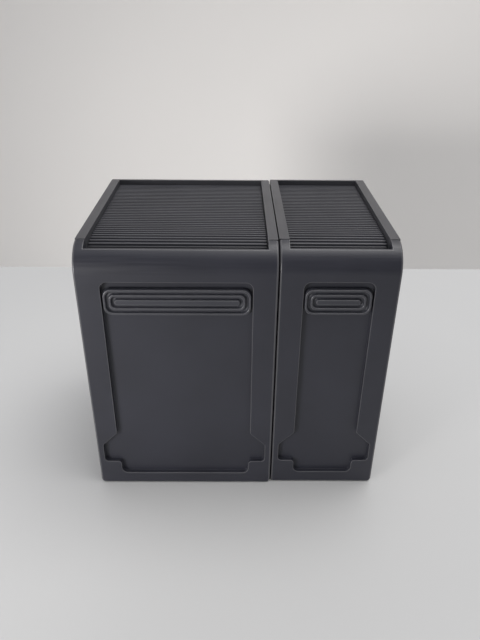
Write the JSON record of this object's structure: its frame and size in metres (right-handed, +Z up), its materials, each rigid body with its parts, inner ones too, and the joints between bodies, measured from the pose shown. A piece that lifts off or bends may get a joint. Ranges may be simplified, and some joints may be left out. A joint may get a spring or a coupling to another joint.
{
  "type": "trading card drawer box",
  "caption": "Side-by-side upright card boxes, a wide and a narrow one, each with a ribbed top and a pull-out drawer with a recessed, curved front and ridged grip.",
  "frame": {"origin": "centre of the base of the pair's bounding box, on the surface it stands on", "axes": "+Z up, -Y the side with the drawer fronts, +X from the wide box to the narrow one"},
  "size_m": [0.112, 0.0798, 0.105],
  "materials": {
    "case_plastic": "3D-printed charcoal plastic, satin sheen, fine level layer lines",
    "rib_plastic": "3D-printed charcoal plastic, satin, fine layer lines",
    "front_plastic": "3D-printed charcoal plastic, satin with a slight violet cast, fine level layer lines",
    "grip_plastic": "3D-printed charcoal plastic, satin, fine stair steps on the ridge ends",
    "tray_plastic": "3D-printed charcoal plastic, satin, fine level layer lines",
    "magnet_nickel": "bright nickel plating",
    "pin_steel": "plain turned steel"
  },
  "bodies": {
    "wide_box": {"wide_case": "case_plastic", "wide_ribbed_top": "rib_plastic", "wide_case_magnets": "magnet_nickel", "wide_stop_pin": "pin_steel"},
    "wide_drawer": {"wide_tray": "tray_plastic", "wide_front": "front_plastic", "wide_grip": "grip_plastic", "wide_tray_magnets": "magnet_nickel"},
    "narrow_box": {"narrow_case": "case_plastic", "narrow_ribbed_top": "rib_plastic", "narrow_case_magnets": "magnet_nickel", "narrow_stop_pin": "pin_steel"},
    "narrow_drawer": {"narrow_tray": "tray_plastic", "narrow_front": "front_plastic", "narrow_grip": "grip_plastic", "narrow_tray_magnets": "magnet_nickel"}
  },
  "joints": [
    {"name": "wide_drawer_slide", "type": "slide", "parent": "wide_box", "child": "wide_drawer", "axis": [0, -1, 0], "range_m": [0, 0.058]},
    {"name": "set_apart", "type": "slide", "parent": "wide_box", "child": "narrow_box", "axis": [1, 0, 0], "range_m": [0, 0.05]},
    {"name": "narrow_drawer_slide", "type": "slide", "parent": "narrow_box", "child": "narrow_drawer", "axis": [0, -1, 0], "range_m": [0, 0.058]}
  ]
}
